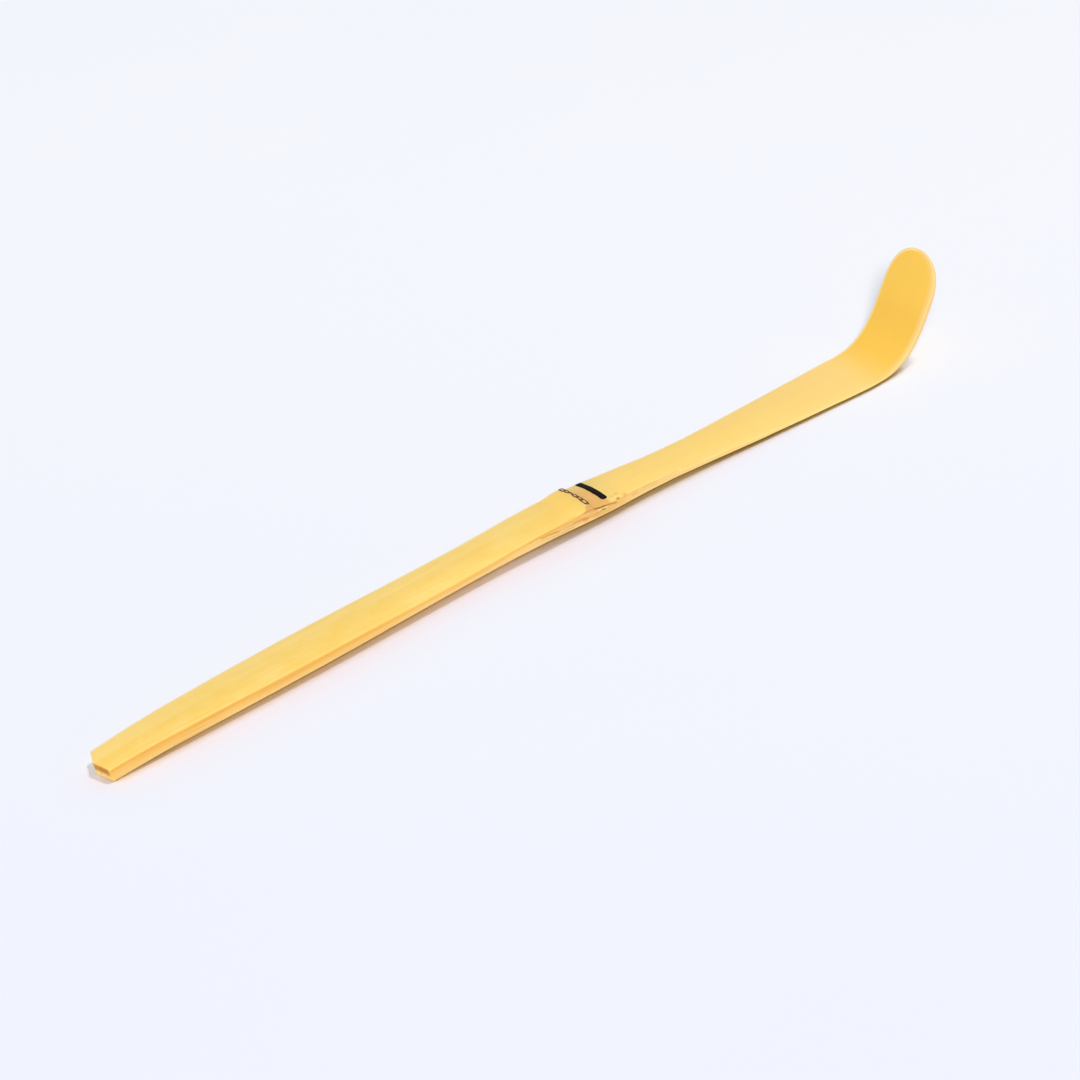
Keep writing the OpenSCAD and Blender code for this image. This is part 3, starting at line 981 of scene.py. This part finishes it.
def node_colour(tree, wood, base):
    """Lays the tan skin, the split streaks, the green skin and the split fibres, one of them a painted
    highlight, over the bamboo's colour.
    """
    threads = use(tree, streaks, Place=wood.place, Length=3.0, Width=0.14)
    shallow = soft_mask(tree, wood.depth, 0.9, 0.3)
    to_line = calc(tree, "SUBTRACT", wood.along, line_mm)
    # the tan starts at the scar, and farther back near the edge
    over_edge = calc(tree, "MAXIMUM", total(tree, wood.near, 1.0), 0.0)
    run_back = total(tree, product(tree, (wood.near, -1.2, -0.95), 0.85), product(tree, over_edge, 0.85))
    in_tan = (total(tree, wood.past_scar, run_back), -0.15, 0.12)
    tan = product(tree, in_tan, (to_line, 0.9, 0.1), (wood.near, 0.55, 0.05), shallow, 0.9)
    tan_skin = mix(tree, soft_mask(tree, wood.near, -6.6, -4.2), colour(232, 208, 132), colour(233, 184, 108))
    tan_skin = layered(tree, tan_skin, (
        ((226, 168, 88), 0.6, (wood.near, -2.6, -0.8)),
        ((214, 152, 78), 0.35, threads),
    ))
    greener = total(tree, 0.22, product(tree, (wood.near, -4.5, -6.5), 0.3))
    waver = calc(tree, "SUBTRACT", use(tree, mottle, Place=wood.place, Size=waver_size), 0.5)
    waver = product(tree, waver, waver_mm)
    fibres = [(paint, most, use(
        tree, fibre, Along=wood.past_scar, Down=wood.near, Waver=waver, Width=width,
        Start=start, Down_at_start=down_start, End=end, Down_at_end=down_end,
    )) for start, down_start, end, down_end, width, paint, most in near_marks]
    return layered(tree, mix(tree, tan, base, tan_skin), (
        ((216, 152, 72), 0.5, (wood.past_scar, -13, -6), (wood.past_scar, 9, 3), (wood.near, 0.1, 0.3),
         (wood.near, 1.9, 1.5), threads),
        ((218, 206, 138), 1.0, (to_line, 0, 0.4), (to_line, 5.5, 0.6), shallow, (wood.near, 0.1, -0.6),
         greener),
        *fibres,
    ))


print(len(near_marks), "split fibres")

# %% [markdown]
# The bamboo's finish puts these colours together by where a point lies. The long edges catch the light, so a
# pale line runs along the far one and round the blade. Cut faces are duller than skin.

# %% Bamboo
skin_roughness, cloud_roughness, cut_roughness = 0.42, 0.08, 0.2


def bamboo_nodes(tree, shader):
    wood = Wood(tree)
    base = mix(tree, wood.skin, side_colour(tree, wood), skin_colour(tree, wood))
    base = layered(tree, base, (
        ((255, 238, 186), 0.55, (wood.far, -0.62, -0.30), (wood.depth, 0.28, 0.12)),
        ((248, 207, 138), 0.6, (wood.near, -1.0, -0.55), (wood.along, 154, 164)),
    ))
    base = mix(tree, wood.cut_end, base, end_colour(tree, wood))
    dull = product(tree, calc(tree, "SUBTRACT", 1.0, wood.skin), cut_roughness)
    rough = total(tree, skin_roughness, product(tree, wood.cloud, cloud_roughness), dull)
    base = node_colour(tree, wood, base)
    fill(tree, shader, {"Base Color": base, "Roughness": rough, "Specular IOR Level": 0.3})
    bump(tree, shader, total(tree, wood.fine, product(tree, wood.cloud, 0.5)), 0.35, 0.02 * MM)


bamboo = finish_material("bamboo", bamboo_nodes)
print("bamboo:", len(bamboo.node_tree.nodes), "nodes")

# %% [markdown]
# The dry sheath is brown and fibrous where it stands up, and pale inside its blisters, as the mesh says. The
# lacquer is a near black with a little brown in it, slightly worn.

# %% Dry sheath and black lacquer
def millimetres(tree):
    """The object's own coordinates, in millimetres."""
    where = add(tree, "ShaderNodeTexCoord").outputs["Object"]
    return add(tree, "ShaderNodeVectorMath", {0: where, "Scale": 1 / MM}, operation="SCALE").outputs[0]


def sheath_nodes(tree, shader):
    where, pale = millimetres(tree), attribute(tree, "pale")
    threads = use(tree, streaks, Place=where, Length=0.8, Width=0.1)
    blotch = use(tree, mottle, Place=where, Size=0.35)
    brown = mix(tree, threads, colour(78, 46, 10), colour(122, 80, 28))
    inside = ramp(tree, pale, ((0, (216, 162, 88)), (1, (246, 220, 154))))
    inside = layered(tree, inside, (((208, 152, 74), 0.4, blotch),))
    base = mix(tree, soft_mask(tree, pale, 0.0, 0.3), brown, inside)
    fill(tree, shader, {"Base Color": base, "Roughness": 0.75})
    bump(tree, shader, threads, 0.6, 0.03 * MM)


def lacquer_nodes(tree, shader):
    where = millimetres(tree)
    brushed = use(tree, streaks, Place=where, Length=0.12, Width=0.6)
    worn = use(tree, mottle, Place=where, Size=0.5)
    base = mix(tree, product(tree, worn, 0.6), colour(12, 9, 3), colour(26, 19, 7))
    rough = total(tree, 0.5, product(tree, worn, 0.2))
    fill(tree, shader, {"Base Color": base, "Roughness": rough, "Specular IOR Level": 0.06})
    bump(tree, shader, brushed, 0.4, 0.02 * MM)


dry_sheath = finish_material("dry_sheath", sheath_nodes)
black_lacquer = finish_material("black_lacquer", lacquer_nodes)
for piece, finish, slot, replaced in (
    (strip, bamboo, "bamboo", "bamboo_strip"),
    (scar, dry_sheath, "dry_sheath", "sheath_scar"),
    (line, black_lacquer, "black_lacquer", "node_line"),
):
    piece.data.materials.append(finish)
    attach(piece, "root")
    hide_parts(replaced)
    print(piece.name, "stands for", replaced)

# %% [markdown]
# The stage is a plain pale floor that keeps the shadow. Shade and warm light off the bamboo are also painted
# into its colour where the strip closes it in: a painted brown shadow below the near edge, a painted olive
# contact shadow where the two touch, and a little painted pink shade farther out. Ambient occlusion tells how
# closed in a point is, at three distances.

# %% Floor
floor_drop = 0.02 * MM
floor_reach = 4.0
closed_in_at = {"touching": 1.0 * MM, "below": 2.6 * MM, "beside": 10 * MM}
occlusion_samples = 6
floor_mesh = bpy.data.meshes.new("floor")
corners = np.array([(-1, -1), (1, -1), (1, 1), (-1, 1)]) * floor_reach
floor_mesh.from_pydata([(x, y, -floor_drop) for x, y in corners.tolist()], [], [(0, 1, 2, 3)])
floor = new_object("floor", floor_mesh)


def floor_nodes(tree, shader):
    where = millimetres(tree)
    x_mm, y_mm, _ = add(tree, "ShaderNodeSeparateXYZ", {0: where}).outputs
    touching, below, beside = (
        add(tree, "ShaderNodeAmbientOcclusion", {"Distance": d}, samples=occlusion_samples).outputs["AO"]
        for d in closed_in_at.values()
    )
    near_side = (y_mm, 3, -2)
    behind = soft_mask(tree, total(tree, x_mm, y_mm), -220, 220)
    plain = layered(tree, mix(tree, behind, colour(239, 242, 252), colour(247, 249, 254)), (
        ((242, 246, 253), 0.3, use(tree, mottle, Place=where, Size=140.0)),
        # painted shade: a faint pink darkening of the floor beside the near side of the strip
        ((235, 231, 242), 1.0, (beside, 1.0, 0.75), (x_mm, 70, 40), near_side),
    ))
    # painted shadow: brown under the near edge, where the strip closes the floor in
    painted_shadow_mask = product(tree, (below, 0.68, 0.54), (x_mm, -87, -83), near_side)
    # colour of the painted shadow, more olive towards the neck
    brown = mix(tree, soft_mask(tree, x_mm, -12, 4), colour(216, 186, 138), colour(190, 164, 108))
    fainter = calc(tree, "SUBTRACT", 1.0, product(tree, (x_mm, 42, 60), 0.4))
    base = layered(tree, mix(tree, painted_shadow_mask, plain, brown), (
        # painted contact shadow: olive where strip and floor touch, fainter towards the bend
        ((154, 130, 68), 1.0, (touching, 0.72, 0.42), (x_mm, -82, -68), fainter),
    ))
    fill(tree, shader, {"Base Color": base, "Roughness": 0.9, "Specular IOR Level": 0.1})


floor_mesh.materials.append(finish_material("pale_floor", floor_nodes))
print("floor", 2 * floor_reach, "m wide,", floor_drop / MM, "mm below the table height")

# %% [markdown]
# A soft light hangs above, so the shadow lies right under the strip. A second one stands behind the camera,
# where its own shadow is hidden, and the sky fills in the rest. What the camera sees of the sky is set apart
# from the light it gives.

# %% Light
sky_share, top_share, front_share = 0.32, 0.33, 0.63
sky = bpy.data.worlds.new("sky")
sky.use_nodes = True
bpy.context.scene.world = sky
tree = sky.node_tree
tree.nodes.clear()
glow = add(tree, "ShaderNodeBackground", {"Color": colour(252, 251, 255), "Strength": sky_share})
backdrop = add(tree, "ShaderNodeBackground", {"Color": colour(246, 248, 254), "Strength": 1.0})
ray = add(tree, "ShaderNodeLightPath").outputs
seen = calc(tree, "MAXIMUM", ray["Is Glossy Ray"], ray["Is Transmission Ray"])
seen = calc(tree, "MAXIMUM", ray["Is Camera Ray"], seen)
both = add(tree, "ShaderNodeMixShader", {0: seen, 1: glow.outputs[0], 2: backdrop.outputs[0]})
add(tree, "ShaderNodeOutputWorld", {"Surface": both.outputs[0]})


def soft_lamp(name, towards, distance, width, share):
    """A round soft lamp aimed at the strip. Its share is the light it puts on a surface that faces it, where
    one shows a white surface as white: the power is share times pi squared times distance squared."""
    data = bpy.data.lights.new(name, "AREA")
    data.shape, data.size = "DISK", width
    data.energy = share * np.pi**2 * distance**2
    lamp = new_object(name, data)
    lamp.location = Vector(towards).normalized() * distance
    lamp.rotation_euler = (-lamp.location).to_track_quat("-Z", "Y").to_euler()
    print(f"{name}: {data.energy:.2f} W at {distance} m")


soft_lamp("overhead", (0.24, -0.12, 1.0), 5.0, 0.85, top_share)
soft_lamp("front", (-0.565, -0.561, 0.60), 6.0, 1.2, front_share)

# %% [markdown]
# The camera looks down at 34 degrees, with the strip running away to the right. Its lens and distance were
# worked out from the outline in the picture, so the perspective matches too.

# %% Camera
camera_yaw, camera_tilt = np.radians(43.258), np.radians(34.257)
camera_distance = 496.28 * MM
camera_target = Vector((-0.592 * MM, 0.137 * MM, 0))
level = np.cos(camera_tilt)
look = Vector((np.sin(camera_yaw) * level, np.cos(camera_yaw) * level, -np.sin(camera_tilt)))
camera_data = bpy.data.cameras.new("camera")
camera_data.sensor_width = 36
camera_data.lens = 107.69
camera_data.clip_start = 0.01
camera = new_object("camera", camera_data)
camera.location = camera_target - look * camera_distance
camera.rotation_euler = look.to_track_quat("-Z", "Y").to_euler()
bpy.context.scene.camera = camera
bpy.context.scene.view_settings.view_transform = "Standard"
print("camera at", [round(c, 4) for c in camera.location])
